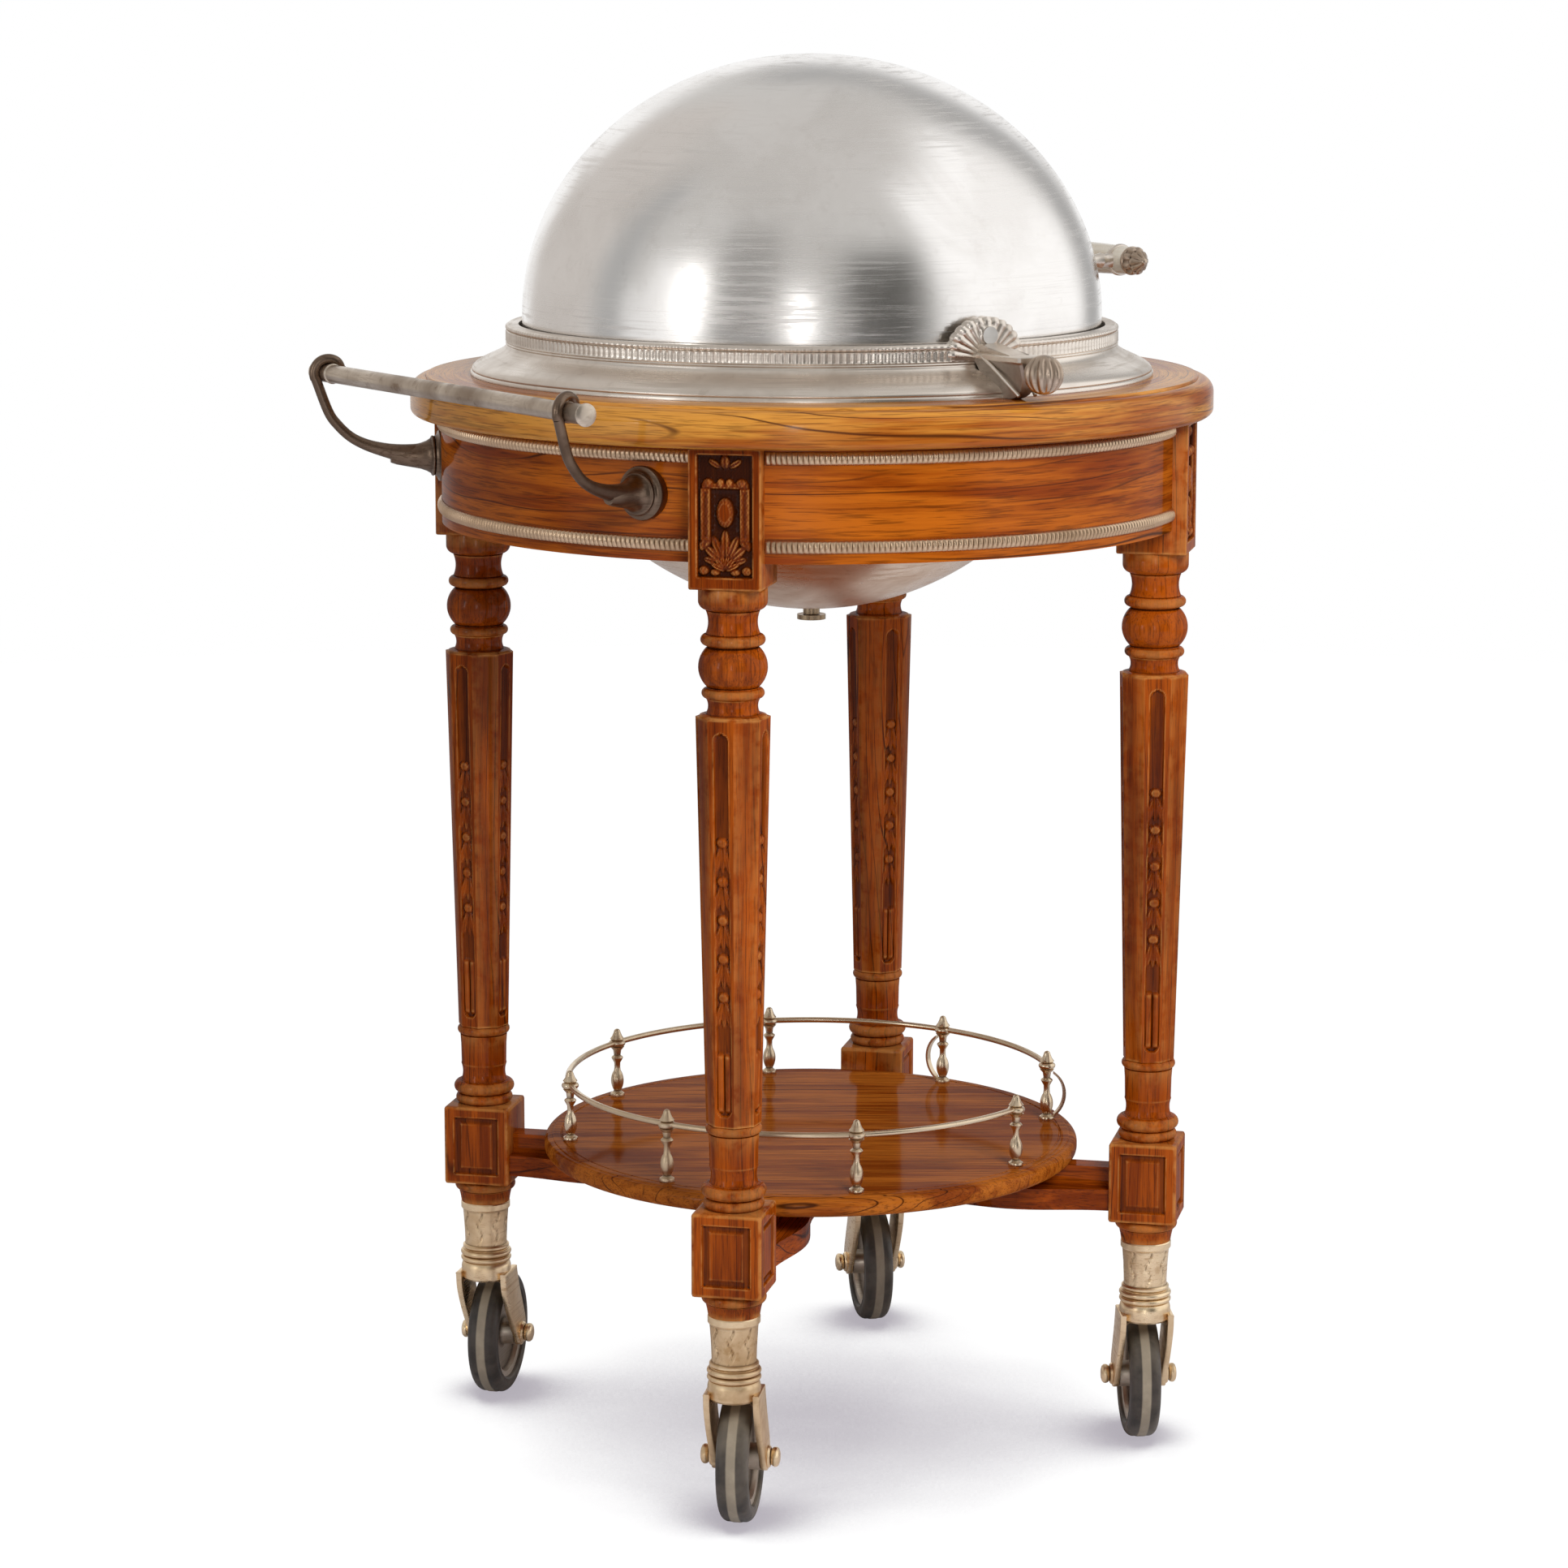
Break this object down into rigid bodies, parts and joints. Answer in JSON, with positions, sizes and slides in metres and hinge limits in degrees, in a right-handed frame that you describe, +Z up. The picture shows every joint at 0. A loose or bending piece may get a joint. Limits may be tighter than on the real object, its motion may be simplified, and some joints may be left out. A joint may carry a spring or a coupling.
{
  "type": "carving trolley",
  "caption": "Round wooden carving trolley on turned legs with casters, with a plated roll-over dome above a hot-water pan, a push handle and a railed lower shelf.",
  "frame": {"origin": "on the floor, in the middle of the whole footprint; the vertical axis of the round table is 15.08 mm towards +X from it", "axes": "+Z up; +X forwards, away from the push handle; +Y to the left, along the dome's pivot axis"},
  "size_m": [0.6959, 0.69, 1.1709],
  "materials": {
    "polished_wood": "French-polished red-brown hardwood with dark open grain",
    "inner_wood": "stained hardwood, satin",
    "silver_plate": "worn silver plate, finely scratched",
    "gallery_metal": "tarnished plated brass",
    "beading_metal": "worn plated beading with dark roots",
    "grip": "pale polished grip",
    "dark_nickel": "dark tarnished nickel plate",
    "steel": "plain steel",
    "caster_brass": "aged cast brass",
    "wheel_metal": "worn cast metal",
    "tyre_rubber": "grey-black rubber with a worn pale tread"
  },
  "bodies": {
    "frame": {"leg_rear_right": "polished_wood", "leg_rear_left": "polished_wood", "leg_front_right": "polished_wood", "leg_front_left": "polished_wood", "apron_front": "polished_wood", "apron_left": "polished_wood", "apron_rear": "polished_wood", "apron_right": "polished_wood", "beading_upper": "beading_metal", "beading_lower": "beading_metal", "top_bearer": "inner_wood", "top_board": "polished_wood", "shelf": "polished_wood", "stretcher_long": "inner_wood", "stretcher_cross": "inner_wood", "shelf_screws": "steel", "gallery_posts": "gallery_metal", "gallery_rail": "gallery_metal", "gallery_braces": "gallery_metal", "dome_ring": "silver_plate", "well_bowl": "silver_plate", "drain_boss": "caster_brass", "trunnion_brackets": "silver_plate", "trunnion_knobs": "silver_plate", "pivot_pins": "steel", "water_pan": "silver_plate", "pan_hangers": "steel", "pan_support": "steel", "burner_cradle": "steel", "spirit_burner": "caster_brass", "push_handle_bar": "dark_nickel", "push_handle_arm_left": "dark_nickel", "push_handle_arm_right": "dark_nickel", "caster_cap_rear_right": "caster_brass", "caster_cap_rear_left": "caster_brass", "caster_cap_front_right": "caster_brass", "caster_cap_front_left": "caster_brass"},
    "dome": {"dome_shell": "silver_plate", "pivot_bushes": "steel", "dome_grip": "grip", "dome_grip_posts": "silver_plate", "dome_grip_finials": "silver_plate"},
    "platter": {"carving_platter": "silver_plate"},
    "drain": {"drain_plug": "caster_brass"},
    "caster_rear_right": {"caster_fork_rear_right": "caster_brass", "caster_axle_rear_right": "caster_brass"},
    "wheel_rear_right": {"caster_wheel_rear_right": "wheel_metal", "caster_tyre_rear_right": "tyre_rubber"},
    "caster_rear_left": {"caster_fork_rear_left": "caster_brass", "caster_axle_rear_left": "caster_brass"},
    "wheel_rear_left": {"caster_wheel_rear_left": "wheel_metal", "caster_tyre_rear_left": "tyre_rubber"},
    "caster_front_right": {"caster_fork_front_right": "caster_brass", "caster_axle_front_right": "caster_brass"},
    "wheel_front_right": {"caster_wheel_front_right": "wheel_metal", "caster_tyre_front_right": "tyre_rubber"},
    "caster_front_left": {"caster_fork_front_left": "caster_brass", "caster_axle_front_left": "caster_brass"},
    "wheel_front_left": {"caster_wheel_front_left": "wheel_metal", "caster_tyre_front_left": "tyre_rubber"}
  },
  "joints": [
    {"name": "dome_roll", "type": "hinge", "parent": "frame", "child": "dome", "pos_m": [0.01508, 0, 0.9569], "axis": [0, -1, 0], "range_deg": [0, 150]},
    {"name": "platter_lift", "type": "slide", "parent": "frame", "child": "platter", "axis": [0, 0, 1], "range_m": [0, 0.025]},
    {"name": "drain_plug_turn", "type": "hinge", "parent": "frame", "child": "drain", "pos_m": [0.01508, 0, 0.7069], "axis": [0, 0, 1], "range_deg": [0, 90]},
    {"name": "swivel_rear_right", "type": "hinge", "parent": "frame", "child": "caster_rear_right", "pos_m": [-0.18998, -0.20506, 0.14], "axis": [0, 0, 1], "continuous": true},
    {"name": "wheel_spin_rear_right", "type": "hinge", "parent": "caster_rear_right", "child": "wheel_rear_right", "pos_m": [-0.16899, -0.18091, 0.054], "axis": [-0.7547, 0.6561, 0], "continuous": true},
    {"name": "swivel_rear_left", "type": "hinge", "parent": "frame", "child": "caster_rear_left", "pos_m": [-0.18998, 0.20506, 0.14], "axis": [0, 0, 1], "continuous": true},
    {"name": "wheel_spin_rear_left", "type": "hinge", "parent": "caster_rear_left", "child": "wheel_rear_left", "pos_m": [-0.16697, 0.22729, 0.054], "axis": [-0.6947, 0.7193, 0], "continuous": true},
    {"name": "swivel_front_right", "type": "hinge", "parent": "frame", "child": "caster_front_right", "pos_m": [0.22014, -0.20506, 0.14], "axis": [0, 0, 1], "continuous": true},
    {"name": "wheel_spin_front_right", "type": "hinge", "parent": "caster_front_right", "child": "wheel_front_right", "pos_m": [0.23565, -0.17707, 0.054], "axis": [-0.8746, 0.4848, 0], "continuous": true},
    {"name": "swivel_front_left", "type": "hinge", "parent": "frame", "child": "caster_front_left", "pos_m": [0.22014, 0.20506, 0.14], "axis": [0, 0, 1], "continuous": true},
    {"name": "wheel_spin_front_left", "type": "hinge", "parent": "caster_front_left", "child": "wheel_front_left", "pos_m": [0.23264, 0.23452, 0.054], "axis": [-0.9205, 0.3907, 0], "continuous": true}
  ]
}
